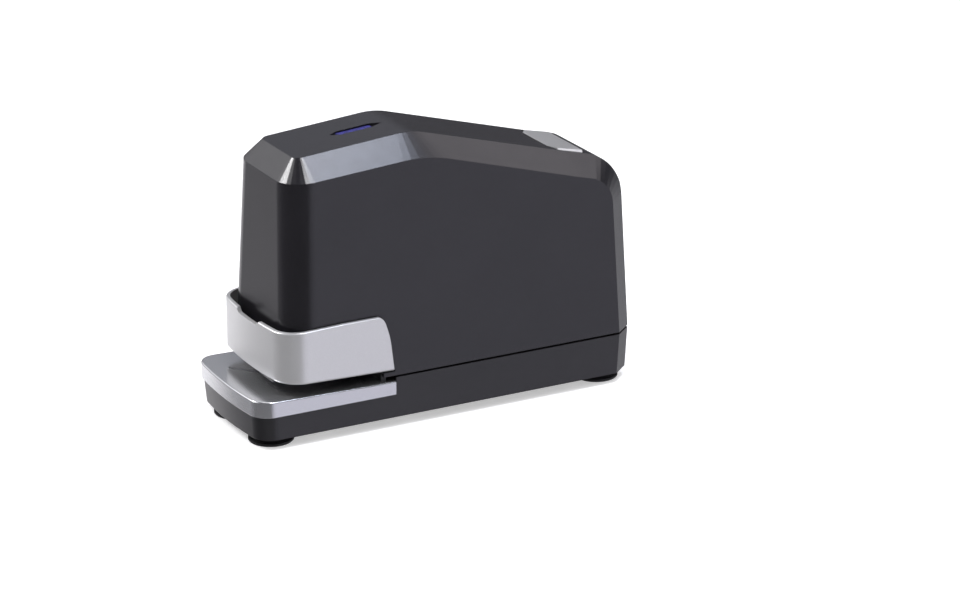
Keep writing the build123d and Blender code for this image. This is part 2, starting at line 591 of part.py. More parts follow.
with BuildPart() as coil_bobbin:
    post(0, COIL_Y, BOBBIN_LOW, BOBBIN_HIGH, 9.5)
    for low in (BOBBIN_LOW, BOBBIN_HIGH - 2):
        block((5.2 - PLATE_IN, COIL_Y - 18, low), (PLATE_IN - 5.2, COIL_Y + 18, low + 2))
    post(0, COIL_Y, BOBBIN_LOW, BOBBIN_HIGH, PLUNGER_RADIUS + 0.3, mode=Mode.SUBTRACT)
save(coil_bobbin, "coil_bobbin")

with BuildPart() as coil_winding:
    tube(0, COIL_Y, BOBBIN_LOW + 2, BOBBIN_HIGH - 2, COIL_RADIUS, 9.5)
save(coil_winding, "coil_winding")

with BuildPart() as plunger:
    post(0, COIL_Y, PLUNGER_LOW, PLUNGER_HIGH, PLUNGER_RADIUS)
    chamfer(plunger.edges().group_by(Axis.Z)[0], 1.2)
    post(0, COIL_Y, CARRIER_HIGH, PLUNGER_LOW, ROD_RADIUS)
save(plunger, "plunger")

with BuildPart() as plunger_cap:
    post(0, COIL_Y, PLUNGER_HIGH, CAP_HIGH, CAP_RADIUS)
    chamfer(plunger_cap.edges().group_by(Axis.Z)[-1], 0.8)
save(plunger_cap, "plunger_cap")

plunger_spring = coil_spring(Plane.XY.offset(YOKE_HIGH).shift_origin((0, COIL_Y, YOKE_HIGH)),
                             PLUNGER_HIGH - YOKE_HIGH, 10.3, 0.6, 4)
save(plunger_spring, "plunger_spring")

# ---------------------------------------------------------------- driver
BLADE_HALF = 6.3
BLADE_FRONT = -75.0
BLADE_REAR = -74.4
BLADE_LOW = 43.8
GUIDE_LOW = 43.2
GUIDE_HIGH = 44.8
ROD_X = 14.0
ROD_Y = -60.0
GUIDE_ROD = 2.0
SLOT_HALF = 6.5
SLOT_FRONT = -75.1
SLOT_REAR = -74.3
BUMPER_HIGH = 46.8

with BuildPart() as driver_carrier:
    block((-8, BLADE_REAR, CARRIER_LOW), (8, COIL_Y + 6, CARRIER_HIGH))
    block((-ROD_X - 4, ROD_Y - 4, CARRIER_LOW), (ROD_X + 4, ROD_Y + 4, CARRIER_HIGH))
    fillet(driver_carrier.edges().filter_by(Axis.Z).filter_by(lambda e: abs(e.center().X) > ROD_X), 3)
    for x in (-ROD_X, ROD_X):
        post(x, ROD_Y, CARRIER_LOW, CARRIER_HIGH, GUIDE_ROD + 0.08, mode=Mode.SUBTRACT)
save(driver_carrier, "driver_carrier")

with BuildPart() as driver_blade:
    block((-BLADE_HALF, BLADE_FRONT, BLADE_LOW), (BLADE_HALF, BLADE_REAR, CARRIER_HIGH))
save(driver_blade, "driver_blade")

with BuildPart() as blade_clamp:
    block((-BLADE_HALF, BLADE_FRONT - 1.6, CARRIER_LOW), (BLADE_HALF, BLADE_FRONT, CARRIER_HIGH))
save(blade_clamp, "blade_clamp")

with BuildPart() as driver_guide:
    block((-PLATE_IN, -77, GUIDE_LOW), (PLATE_IN, ROD_Y + 8, GUIDE_HIGH))
    block((-SLOT_HALF, SLOT_FRONT, GUIDE_LOW), (SLOT_HALF, SLOT_REAR, GUIDE_HIGH), mode=Mode.SUBTRACT)
save(driver_guide, "driver_guide")

with BuildPart() as guide_rods:
    for x in (-ROD_X, ROD_X):
        post(x, ROD_Y, GUIDE_HIGH, YOKE_LOW, GUIDE_ROD)
save(guide_rods, "guide_rods")

with BuildPart() as carrier_bumpers:
    for x in (-ROD_X, ROD_X):
        tube(x, ROD_Y, GUIDE_HIGH, BUMPER_HIGH, 4.2, GUIDE_ROD)
save(carrier_bumpers, "carrier_bumpers")

# ---------------------------------------------------------------- staple drawer
FLOOR_REAR = -36.0                          # rear end of the nose's floor, just ahead of the throat plate
NOSE_FLOOR_TOP = 31.5
NOSE_REAR = [(-29.2, CHEEK_BOTTOM), (-30.5, 39.4), (-31.4, 45.5), (-33.2, 51.7), (-34.4, 54.4),
             (-37.0, NOSE_TOP)]
CHANNEL_REAR = 41.0
CHANNEL_HALF = 8.5
CHANNEL_SHEET = 1.0
CHANNEL_TOP = 42.4
RUNNER_IN = 14.0
RUNNER_OUT = 16.8
RUNNER_LOW = 33.6
RUNNER_HIGH = 39.8
RUNNER_REAR = 58.0
FRONT_PLATE_Y = -79.5
FRONT_PLATE_TOP = 42.8


def nose_plan(inset, rear):
    """Plan of the nose: bowed front, large round corners, straight sides."""
    half = NOSE_HALF - inset
    front = NOSE_FRONT + inset
    corner = NOSE_CORNER - inset
    end_x, end_y, side_y, (run_x, run_y) = front_end(half, front, NOSE_BOW, corner)
    with BuildLine() as line:
        ThreePointArc((-end_x, end_y), (0, front - NOSE_BOW), (end_x, end_y))
        TangentArc((end_x, end_y), (half, side_y), tangent=(run_x, run_y))
        Polyline((half, side_y), (half, rear), (-half, rear), (-half, side_y))
        TangentArc((-end_x, end_y), (-half, side_y), tangent=(-run_x, run_y))
    make_face(line.edges())


with BuildPart() as nose_cover:
    with BuildSketch(Plane.XY.offset(CHEEK_BOTTOM - 1)) as plan:
        nose_plan(0, -20.0)
    extrude(plan.sketch, amount=NOSE_TOP - CHEEK_BOTTOM + 1)
    with BuildSketch(Plane.YZ) as profile:
        with BuildLine():
            Polyline((-95, NOSE_FRONT_BOTTOM), (-20, CHEEK_BOTTOM - 0.25), (-20, NOSE_TOP),
                     (-55, NOSE_TOP), (-95, NOSE_FRONT_TOP), close=True)
        make_face()
    extrude(profile.sketch, amount=NOSE_HALF, both=True, mode=Mode.INTERSECT)
    under = nose_cover.faces().sort_by(Axis.Z)[0].edges()
    fillet(under.filter_by(lambda e: e.center().Y < -21), 1.3)
    top_faces = nose_cover.faces().filter_by(lambda f: f.normal_at().Z > 0.9)
    upper = ShapeList(e for f in top_faces for e in f.edges())
    fillet(upper.filter_by(lambda e: e.center().Y < -21 and abs(e.tangent_at(0.5).X) < 0.99
                           or e.center().Y < -80), 0.9)
    with BuildSketch(Plane.XY.offset(NOSE_FLOOR_TOP)) as plan:
        nose_plan(NOSE_WALL, -10.0)
    extrude(plan.sketch, amount=NOSE_TOP, mode=Mode.SUBTRACT)
    block((NOSE_WALL - NOSE_HALF, FLOOR_REAR, CHEEK_BOTTOM - 1), (NOSE_HALF - NOSE_WALL, -10, NOSE_TOP),
          mode=Mode.SUBTRACT)
    # swept rear edge of the two cheeks
    with BuildSketch(Plane.YZ) as profile:
        with BuildLine() as line:
            Polyline((-95, CHEEK_BOTTOM - 1), (NOSE_REAR[0][0], CHEEK_BOTTOM - 1), NOSE_REAR[0])
            Spline(*NOSE_REAR, tangents=[(-0.12, 1), (-1, 0.12)])
            Polyline(NOSE_REAR[-1], (-95, NOSE_TOP), (-95, CHEEK_BOTTOM - 1))
        make_face()
    extrude(profile.sketch, amount=NOSE_HALF + 1, both=True, mode=Mode.INTERSECT)
    # finger notch in the front's top edge, with sloping ends
    with BuildSketch(Plane.XZ.offset(80)) as notch:
        with BuildLine() as line:
            notch_low = NOSE_FRONT_TOP - NOTCH_DEPTH
            Polyline((-NOTCH_HALF - NOTCH_DEPTH, NOSE_FRONT_TOP), (-NOTCH_HALF, notch_low),
                     (NOTCH_HALF, notch_low), (NOTCH_HALF + NOTCH_DEPTH, NOSE_FRONT_TOP),
                     (NOTCH_HALF + NOTCH_DEPTH, NOSE_TOP), (-NOTCH_HALF - NOTCH_DEPTH, NOSE_TOP), close=True)
        make_face()
    extrude(notch.sketch, amount=12, mode=Mode.SUBTRACT)
    block((-SLOT_HALF, SLOT_FRONT, CHEEK_BOTTOM - 1), (SLOT_HALF, SLOT_REAR, NOSE_FLOOR_TOP),
          mode=Mode.SUBTRACT)
save(nose_cover, "nose_cover")

with BuildPart() as drawer_front_plate:
    block((-20, FRONT_PLATE_Y, NOSE_FLOOR_TOP), (20, FRONT_PLATE_Y + 2, FRONT_PLATE_TOP))
    block((-CHANNEL_HALF, FRONT_PLATE_Y + 2, NOSE_FLOOR_TOP), (CHANNEL_HALF, SLOT_FRONT, FRONT_PLATE_TOP))
save(drawer_front_plate, "drawer_front_plate")

with BuildPart() as staple_channel:
    block((-CHANNEL_HALF, SLOT_REAR, NOSE_FLOOR_TOP), (CHANNEL_HALF, CHANNEL_REAR, CHANNEL_TOP))
    block((CHANNEL_SHEET - CHANNEL_HALF, SLOT_REAR, NOSE_FLOOR_TOP + CHANNEL_SHEET),
          (CHANNEL_HALF - CHANNEL_SHEET, CHANNEL_REAR - CHANNEL_SHEET, CHANNEL_TOP), mode=Mode.SUBTRACT)
save(staple_channel, "staple_channel")

RAIL_HALF = 5.6
RAIL_TOP = 34.6
with BuildPart() as staple_rail:
    block((-RAIL_HALF, SLOT_REAR, NOSE_FLOOR_TOP + CHANNEL_SHEET),
          (RAIL_HALF, CHANNEL_REAR - CHANNEL_SHEET, RAIL_TOP))
save(staple_rail, "staple_rail")

for name, side in (("drawer_runner_left", -1), ("drawer_runner_right", 1)):
    with BuildPart() as runner:
        x = sorted((side * RUNNER_IN, side * RUNNER_OUT))
        block((x[0], FRONT_PLATE_Y + 2, RUNNER_LOW), (x[1], RUNNER_REAR, RUNNER_HIGH))
        x = sorted((side * CHANNEL_HALF, side * RUNNER_IN))
        block((x[0], CHANNEL_REAR - 11, RUNNER_LOW), (x[1], CHANNEL_REAR - 1, RUNNER_LOW + 2))
    save(runner, name)

LUG_HALF = 5.0
with BuildPart() as drawer_rear_plate:
    block((-RUNNER_OUT, RUNNER_REAR, RUNNER_LOW), (RUNNER_OUT, RUNNER_REAR + 2, RUNNER_HIGH))
    block((-LUG_HALF, RUNNER_REAR, RUNNER_HIGH), (LUG_HALF, RUNNER_REAR + 2, CHANNEL_TOP))
save(drawer_rear_plate, "drawer_rear_plate")

for name, side in (("guide_rail_left", -1), ("guide_rail_right", 1)):
    with BuildPart() as rail:
        x = sorted((side * (RUNNER_OUT + 0.2), side * PLATE_IN))
        block((x[0], HEAD_FRONT, RUNNER_LOW - 1.9), (x[1], 64, RUNNER_HIGH + 2.2))
        x = sorted((side * (RUNNER_IN - 0.4), side * (RUNNER_OUT + 0.2)))
        block((x[0], HEAD_FRONT, RUNNER_LOW - 1.9), (x[1], 64, RUNNER_LOW - 0.2))
        block((x[0], HEAD_FRONT, RUNNER_HIGH + 0.2), (x[1], 64, RUNNER_HIGH + 2.2))
    save(rail, name)

# pusher that rides over the staple rail; its wound ribbon spring draws it to the front
PUSHER_FRONT = -73.8
PUSHER_LENGTH = 14.0
PUSHER_TOP = 42.3
DRUM_Y = PUSHER_FRONT + 8.6
DRUM_Z = 38.9
DRUM_RADIUS = 3.7
DRUM_HALF = 4.0
PIN_RADIUS = 1.0
with BuildPart() as staple_pusher:
    block((-7.2, PUSHER_FRONT, RAIL_TOP + 0.2), (7.2, PUSHER_FRONT + PUSHER_LENGTH, PUSHER_TOP))
    for side in (-1, 1):
        x = sorted((side * (RAIL_HALF + 0.2), side * 7.2))
        block((x[0], PUSHER_FRONT, 33.0), (x[1], PUSHER_FRONT + PUSHER_LENGTH, RAIL_TOP + 0.2))
    block((-4.4, DRUM_Y - 4.2, RAIL_TOP + 0.2), (4.4, PUSHER_FRONT + PUSHER_LENGTH, PUSHER_TOP),
          mode=Mode.SUBTRACT)
    cross_bar(DRUM_Y, DRUM_Z, -7.2, 7.2, PIN_RADIUS, mode=Mode.SUBTRACT)
save(staple_pusher, "staple_pusher")

with BuildPart() as pusher_spring:
    cross_bar(DRUM_Y, DRUM_Z, -DRUM_HALF, DRUM_HALF, DRUM_RADIUS)
    cross_bar(DRUM_Y, DRUM_Z, -DRUM_HALF, DRUM_HALF, PIN_RADIUS + 0.05, mode=Mode.SUBTRACT)
save(pusher_spring, "pusher_spring")

with BuildPart() as pusher_pin:
    cross_bar(DRUM_Y, DRUM_Z, -7.2, 7.2, PIN_RADIUS)
save(pusher_pin, "pusher_pin")

# ---------------------------------------------------------------- drawer latch and release button
STEM_Y = 76.0
STEM_LOW = 54.0
SHELF_LOW = 41.5
SHELF_HIGH = 43.5
GUIDE_PLATE_LOW = 94.0
GUIDE_PLATE_HIGH = 95.8
BUTTON_PAD = 109.0
BUTTON_PROUD = 1.3                # above the crown, at its rear edge
BUTTON_SKIN = 1.9
with BuildPart() as latch_lever:
    with BuildSketch(Plane.YZ.offset(-4)) as profile:
        with BuildLine():
            Polyline((56.2, 42.9), (57.7, 42.9), (58.6, 47.0), (63.0, 47.6), (69.0, 47.6), (80.0, 50.4),
                     (80.0, 53.4), (69.0, 54.4), (63.0, 54.4), (56.2, 51.0), close=True)
        make_face()
        with Locations((LATCH_Y, LATCH_Z)):
            Circle(LATCH_PIN + 0.05, mode=Mode.SUBTRACT)
    extrude(amount=8)
save(latch_lever, "latch_lever")

with BuildPart() as latch_pin:
    cross_bar(LATCH_Y, LATCH_Z, -PLATE_OUT, PLATE_OUT, LATCH_PIN)
save(latch_pin, "latch_pin")

with BuildPart() as latch_shelf:
    block((-PLATE_IN, 70, SHELF_LOW), (PLATE_IN, 81, SHELF_HIGH))
save(latch_shelf, "latch_shelf")

latch_spring = coil_spring(Plane.XY.offset(SHELF_HIGH).shift_origin((0, 74.0, SHELF_HIGH)), 4.9, 2.0, 0.35, 4)
save(latch_spring, "latch_spring")

with BuildPart() as button_guide:
    block((-PLATE_OUT, UPRIGHT_FRONT + 1, GUIDE_PLATE_LOW), (PLATE_OUT, 86, GUIDE_PLATE_HIGH))
    post(0, STEM_Y, GUIDE_PLATE_LOW, GUIDE_PLATE_HIGH, 2.6, mode=Mode.SUBTRACT)
save(button_guide, "button_guide")


def crown_height(y):
    """Height of the crown's straight rear run."""
    (y0, z0), (y1, z1) = CROWN[1:3]
    return z0 + (z1 - z0) / (y1 - y0) * (y - y0)


def button_plan(grow):
    """Plan of the release button: its two front corners are cut off."""
    half = BUTTON_HALF + grow
    front = BUTTON_FRONT - grow
    with BuildLine() as line:
        Polyline((-BUTTON_FRONT_HALF, front), (BUTTON_FRONT_HALF, front), (half, front + BUTTON_CORNER),
                 (half, BUTTON_REAR + grow), (-half, BUTTON_REAR + grow), (-half, front + BUTTON_CORNER),
                 close=True)
    make_face(line.edges())


with BuildPart() as release_button:
    with BuildSketch(Plane.XY.offset(100)) as plan:
        button_plan(0)
    extrude(plan.sketch, amount=30)
    # its top starts level with the crown and stands proud of it at the rear
    with BuildSketch(Plane.YZ) as cap:
        with BuildLine():
            Polyline((BUTTON_FRONT - 1, crown_height(BUTTON_FRONT - 1) + 0.1), (70.0, 116.1),
                     (BUTTON_REAR + 1, crown_height(BUTTON_REAR + 1) + BUTTON_PROUD),
                     (BUTTON_REAR + 1, crown_height(BUTTON_REAR + 1) - BUTTON_SKIN),
                     (BUTTON_FRONT - 1, crown_height(BUTTON_FRONT - 1) - BUTTON_SKIN), close=True)
        make_face()
    extrude(cap.sketch, amount=HALF_WIDTH, both=True, mode=Mode.INTERSECT)
    flanks = release_button.faces().filter_by(Axis.X)
    chamfer(flanks.edges().filter_by(lambda e: abs(e.tangent_at(0.5).Y) > 0.9).group_by(Axis.Z)[-1], 0.9, 2.2)
    post(0, STEM_Y, BUTTON_PAD, 112.2, 4.6)
    post(0, STEM_Y, STEM_LOW + 3, BUTTON_PAD, 2.5)
    post(0, STEM_Y, STEM_LOW, STEM_LOW + 3, 1.0)
save(release_button, "release_button")

button_spring = coil_spring(Plane.XY.offset(GUIDE_PLATE_HIGH).shift_origin((0, STEM_Y, GUIDE_PLATE_HIGH)),
                            BUTTON_PAD - GUIDE_PLATE_HIGH, 4.0, 0.4, 6)
save(button_spring, "button_spring")

with BuildPart() as drawer_switch:
    block((10.5, RUNNER_REAR + 2.5, 33.8), (RUNNER_OUT + 0.2, 72, 39.6))
save(drawer_switch, "drawer_switch")

# ---------------------------------------------------------------- electronics
with BuildPart() as control_board:
    block((-21, -19, BOARD_LOW), (21, 53, BOARD_TOP))
save(control_board, "control_board")

with BuildPart() as capacitor:
    post(-9, 30, BOARD_TOP, 99, 8)
    fillet(capacitor.edges().group_by(Axis.Z)[-1], 1)
save(capacitor, "capacitor")

with BuildPart() as heat_sink:
    block((4, 16, BOARD_TOP), (18, 46, BOARD_TOP + 3))
    for i in range(5):
        y = 16 + i * 7
        block((4, y, BOARD_TOP), (18, y + 2, 96))
save(heat_sink, "heat_sink")

with BuildPart() as power_relay:
    block((-16, -14, BOARD_TOP), (4, 10, 92))
    fillet(power_relay.edges().filter_by(Axis.Z), 1)
save(power_relay, "power_relay")

# ---------------------------------------------------------------- indicator
LENS_FRONT = -40.0
LENS_REAR = -22.5
LENS_HALF = 1.9
RECESS_AHEAD = 3.7                # the recess runs to a point beyond each end of the lens
RECESS_BEHIND = 5.6
crown_lean = atan2(CROWN[1][1] - CROWN[0][1], CROWN[1][0] - CROWN[0][0])
lens_middle = (LENS_FRONT + LENS_REAR) / 2
lens_z = CROWN[0][1] + (lens_middle - CROWN[0][0]) * sin(crown_lean) / cos(crown_lean)
crown_normal = (0, -sin(crown_lean), cos(crown_lean))
crown_plane = Plane((0, lens_middle, lens_z), x_dir=(1, 0, 0), z_dir=crown_normal)
LENS_LENGTH = LENS_REAR - LENS_FRONT
with BuildPart() as indicator_lens:
    with BuildSketch(crown_plane.offset(-4.5)):
        RectangleRounded(2 * LENS_HALF, LENS_LENGTH, 0.6)
    extrude(amount=3.9)
save(indicator_lens, "indicator_lens")

with BuildPart() as indicator_board:
    block((-9, -34.5, 129.6), (9, -16, 130.8))
    block((-1.5, -32, 130.8), (1.5, -28, 131.4))
save(indicator_board, "indicator_board")

# ---------------------------------------------------------------- hood
RECESS_HALF = 33.2                          # face of the rebate that the nose's cheeks slide on
RECESS_TOP = 56.9
REBATE_LOW = CHEEK_BOTTOM - 0.5
CHEEK_INNER = 30.7                          # inner face of the wall behind that rebate
MOUTH_HALF = 21.6
MOUTH_TOP = 46.0
HOOD_FRONT_LOW = 32.3                       # hood's lower edge above the nose's floor

with BuildPart() as hood_shell:
    add(hood_form(0, SEAM_HIGH))
    with BuildPart(mode=Mode.PRIVATE) as cavity:
        add(hood_form(WALL, SEAM_HIGH - 5))
        for side in (-1, 1):
            x = sorted((side * CHEEK_INNER, side * HALF_WIDTH))
            block((x[0], -90, NOSE_FLOOR_TOP), (x[1], -26, 60), mode=Mode.SUBTRACT)
        for x, y in CASE_SCREWS:
            post(x, y, SEAM_LOW, HOOD_POST_TOP, HOOD_POST, mode=Mode.SUBTRACT)
        for x, y in both_sides(7.0, -18.5):
            post(x, y, 130.8, 140, 2, mode=Mode.SUBTRACT)
    add(cavity.part, mode=Mode.SUBTRACT)
    # the front part ends above the drawer's floor
    block((-40, -95, 20), (40, THROAT_BACK, HOOD_FRONT_LOW), mode=Mode.SUBTRACT)
    block((-MOUTH_HALF, -95, 20), (MOUTH_HALF, -70, MOUTH_TOP), mode=Mode.SUBTRACT)
    # rebate for the nose's cheeks, along their swept rear edge
    for side in (-1, 1):
        with BuildSketch(Plane.YZ.offset(side * RECESS_HALF)) as profile:
            with BuildLine() as line:
                edge = [(y + 0.5, z) for y, z in NOSE_REAR[:-1]] + [(-36.5, RECESS_TOP)]
                Polyline((-95, REBATE_LOW), (edge[0][0], REBATE_LOW), edge[0])
                Spline(*edge, tangents=[(-0.12, 1), (-1, 0.12)])
                Polyline(edge[-1], (-95, RECESS_TOP), (-95, REBATE_LOW))
            make_face()
        extrude(profile.sketch, amount=side * 8, mode=Mode.SUBTRACT)
    for x, y in CASE_SCREWS:
        post(x, y, SEAM_LOW, HOOD_POST_TOP - 3, SCREW_RADIUS + 0.02, mode=Mode.SUBTRACT)
    with BuildSketch(Plane.XY.offset(100)) as opening:
        button_plan(0.35)
    extrude(opening.sketch, amount=30, mode=Mode.SUBTRACT)
    with BuildSketch(crown_plane.offset(-1.2)):
        with BuildLine() as line:
            front_y = -LENS_LENGTH / 2 - RECESS_AHEAD
            rear_y = LENS_LENGTH / 2 + RECESS_BEHIND
            shoulder_y = LENS_LENGTH / 2 - 0.8
            Polyline((0, front_y), (2.8, -shoulder_y), (2.8, shoulder_y), (0, rear_y), (-2.8, shoulder_y),
                     (-2.8, -shoulder_y), close=True)
        make_face()
    extrude(amount=5, mode=Mode.SUBTRACT)
    with BuildSketch(crown_plane.offset(-8)):
        RectangleRounded(2 * LENS_HALF + 0.1, LENS_LENGTH + 0.1, 0.6)
    extrude(amount=9, mode=Mode.SUBTRACT)
save(hood_shell, "hood_shell")
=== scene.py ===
import json
import math

import bpy
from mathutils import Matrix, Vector

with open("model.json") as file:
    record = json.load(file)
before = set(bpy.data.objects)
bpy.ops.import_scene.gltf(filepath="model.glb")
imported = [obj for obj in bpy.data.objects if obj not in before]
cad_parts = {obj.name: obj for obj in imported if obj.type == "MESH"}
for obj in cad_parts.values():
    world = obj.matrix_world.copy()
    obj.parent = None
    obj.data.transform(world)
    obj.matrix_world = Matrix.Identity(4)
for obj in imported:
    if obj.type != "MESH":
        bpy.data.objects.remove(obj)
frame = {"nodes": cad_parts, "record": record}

# Looks of an electric stapler.  Metres, +Z up, the nose faces -Y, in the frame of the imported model.
MM = 0.001
EDGE_SAMPLES = 6
# Z of a face's normal where painted shade on a face that looks down starts, and where the shade is full
# and the silver paint ends.
UNDERSIDE_SHADE_STARTS, UNDERSIDE_SHADE_FULL = -0.5, -0.8
NODES = frame["nodes"]
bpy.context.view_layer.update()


# ---------------------------------------------------------------- material helpers
class Shader:
    """A material's node tree with one Principled shader, and short calls for the nodes that feed it."""

    def __init__(self, name, metallic=0.0, roughness=0.5, coat=0.0, coat_roughness=0.1, ior=1.5):
        self.material = bpy.data.materials.new(name)
        self.material.use_nodes = True
        self.nodes = self.material.node_tree.nodes
        self.links = self.material.node_tree.links
        self.bsdf = self.nodes["Principled BSDF"]
        self.bsdf.inputs["Metallic"].default_value = metallic
        self.bsdf.inputs["Roughness"].default_value = roughness
        self.bsdf.inputs["Coat Weight"].default_value = coat
        self.bsdf.inputs["Coat Roughness"].default_value = coat_roughness
        self.bsdf.inputs["IOR"].default_value = ior
        self.place = self.nodes.new("ShaderNodeTexCoord").outputs["Object"]

    def link(self, output, target):
        self.links.new(output, target)

    def stretched(self, x, y, z):
        """Object coordinates scaled along the axes, for brushed or drawn patterns."""
        mapping = self.nodes.new("ShaderNodeMapping")
        mapping.inputs["Scale"].default_value = (x, y, z)
        self.link(self.place, mapping.inputs["Vector"])
        return mapping.outputs["Vector"]

    def noise(self, size, detail=2.0, place=None):
        """Noise whose patches are about size metres across, from 0 to 1."""
        node = self.nodes.new("ShaderNodeTexNoise")
        node.inputs["Scale"].default_value = 1 / size
        node.inputs["Detail"].default_value = detail
        self.link(place or self.place, node.inputs["Vector"])
        return node.outputs["Fac"]

    def between(self, value, low, high, start=0.3, end=0.7):
        """A number that goes from low to high as value goes from start to end."""
        node = self.nodes.new("ShaderNodeMapRange")
        node.inputs["From Min"].default_value = start
        node.inputs["From Max"].default_value = end
        node.inputs["To Min"].default_value = low
        node.inputs["To Max"].default_value = high
        self.link(value, node.inputs["Value"])
        return node.outputs["Result"]

    def colours(self, value, low, high, start=0.3, end=0.7):
        """A colour that goes from low to high as value goes from start to end."""
        node = self.nodes.new("ShaderNodeValToRGB")
        first, last = node.color_ramp.elements
        first.position = start
        first.color = (*low, 1)
        last.position = end
        last.color = (*high, 1)
        self.link(value, node.inputs["Fac"])
        return node.outputs["Color"]

    def base(self, colour):
        self.link(colour, self.bsdf.inputs["Base Color"])

    def rough(self, value):
        self.link(value, self.bsdf.inputs["Roughness"])

    def bump(self, height, depth, strength=1.0, edge=0.0):
        """Surface relief of depth metres, on edges that catch the light as if rounded by edge metres."""
        node = self.nodes.new("ShaderNodeBump")
        if edge:
            rounding = self.nodes.new("ShaderNodeBevel")
            rounding.samples = EDGE_SAMPLES
            rounding.inputs["Radius"].default_value = edge
            self.link(rounding.outputs["Normal"], node.inputs["Normal"])
        node.inputs["Strength"].default_value = strength
        node.inputs["Distance"].default_value = depth
        self.link(height, node.inputs["Height"])
        self.link(node.outputs["Normal"], self.bsdf.inputs["Normal"])


def tinted(colour, factor):
    return tuple(min(1.0, c * factor) for c in colour)


def moulded(name, colour, roughness, grain=0.35 * MM, depth=0.004 * MM, spread=0.08, edge=0.2 * MM):
    """Moulded plastic: a fine spark-eroded grain, faint flow marks and a slightly uneven gloss."""
    s = Shader(name, roughness=roughness)
    s.base(s.colours(s.noise(28 * MM), tinted(colour, 1 - spread), tinted(colour, 1 + spread)))
    s.rough(s.between(s.noise(5 * MM, 4), roughness - 0.015, roughness + 0.02))
    s.bump(s.noise(grain, 3), depth / 2, edge=edge)
    return s.material


def painted(name, colour, roughness, metallic, underside_shade=None):
    """Metallic silver paint: fine flakes in a satin film.  Faces that look down may get painted shade, a
    dark colour that is not metallic.
    """
    s = Shader(name, metallic=metallic, roughness=roughness, coat=0.2, coat_roughness=0.25)
    paint = s.colours(s.noise(0.25 * MM, 2), tinted(colour, 0.95), tinted(colour, 1.05))
    # painted shade: faces that look down blend from the silver paint to a dark colour that is not metallic
    if underside_shade:
        split = s.nodes.new("ShaderNodeSeparateXYZ")
        s.link(s.nodes["Texture Coordinate"].outputs["Normal"], split.inputs["Vector"])
        shade_share = s.between(split.outputs["Z"], 1.0, 0.0, UNDERSIDE_SHADE_FULL, UNDERSIDE_SHADE_STARTS)
        shade_mix = s.nodes.new("ShaderNodeMix")
        shade_mix.data_type = "RGBA"
        factor, first, second = (i for i in shade_mix.inputs if i.enabled)
        s.link(shade_share, factor)
        s.link(paint, first)
        second.default_value = (*underside_shade, 1)
        paint = next(o for o in shade_mix.outputs if o.enabled)
        metal = s.between(split.outputs["Z"], 0.0, metallic, UNDERSIDE_SHADE_FULL, UNDERSIDE_SHADE_STARTS)
        s.link(metal, s.bsdf.inputs["Metallic"])
    s.base(paint)
    s.rough(s.between(s.noise(4 * MM, 3), roughness - 0.015, roughness + 0.02))
    s.bump(s.noise(1.4 * MM, 2), 0.0015 * MM, edge=0.3 * MM)
    return s.material


def rubber(name, colour):
    s = Shader(name, roughness=0.72)
    s.base(s.colours(s.noise(4 * MM, 4), tinted(colour, 0.8), tinted(colour, 1.3)))
    s.rough(s.between(s.noise(2 * MM, 3), 0.62, 0.82))
    s.bump(s.noise(0.5 * MM, 4), 0.02 * MM)
    return s.material


def steel(name, colour, roughness, along, tint=None):
    """Rolled or drawn steel: fine lines along one axis and faint clouds of colour."""
    s = Shader(name, metallic=1.0, roughness=roughness)
    lines = {"x": (40, 1400, 1400), "y": (1400, 40, 1400), "z": (1400, 1400, 40)}[along]
    scratch = s.noise(1.0, 3, s.stretched(*lines))
    s.base(s.colours(s.noise(7 * MM, 4), tinted(colour, 0.9), tint or tinted(colour, 1.08)))
    s.rough(s.between(scratch, roughness - 0.07, roughness + 0.1))
    s.bump(scratch, 0.004 * MM)
    return s.material


def enamelled_wire(name):
    s = Shader(name, metallic=0.85, roughness=0.32, coat=0.6, coat_roughness=0.15)
    s.base(s.colours(s.noise(2.5 * MM, 3), (0.42, 0.13, 0.05), (0.62, 0.24, 0.10)))
    s.rough(s.between(s.noise(1.2 * MM, 2), 0.26, 0.4))
    s.bump(s.noise(0.4 * MM, 2), 0.01 * MM)
    return s.material


def board(name):
    """Green solder mask over fibreglass with a faint pattern of copper tracks under it."""
    s = Shader(name, roughness=0.35, coat=0.4, coat_roughness=0.2)
    tracks = s.nodes.new("ShaderNodeTexBrick")
    tracks.inputs["Scale"].default_value = 1 / (9 * MM)
    tracks.inputs["Mortar Size"].default_value = 0.035
    tracks.inputs["Color1"].default_value = (0.012, 0.085, 0.035, 1)
    tracks.inputs["Color2"].default_value = (0.010, 0.075, 0.030, 1)
    tracks.inputs["Mortar"].default_value = (0.03, 0.16, 0.06, 1)
    s.link(s.place, tracks.inputs["Vector"])
    s.base(tracks.outputs["Color"])
    s.rough(s.between(s.noise(3 * MM, 2), 0.3, 0.42))
    s.bump(tracks.outputs["Fac"], 0.03 * MM, 0.4)
    return s.material


def lens(name):
    """Blue tinted light bar with a fine diffusing pattern inside."""
    s = Shader(name, roughness=0.22)
    s.bsdf.inputs["Specular IOR Level"].default_value = 0.25
    glow = s.colours(s.noise(3 * MM, 2), (0.012, 0.011, 0.08), (0.022, 0.021, 0.14))
    s.base(glow)
    s.link(glow, s.bsdf.inputs["Emission Color"])
    s.bsdf.inputs["Emission Strength"].default_value = 0.2
    s.rough(s.between(s.noise(2 * MM, 2), 0.18, 0.28))
    s.bump(s.noise(0.6 * MM, 2), 0.01 * MM)
    return s.material


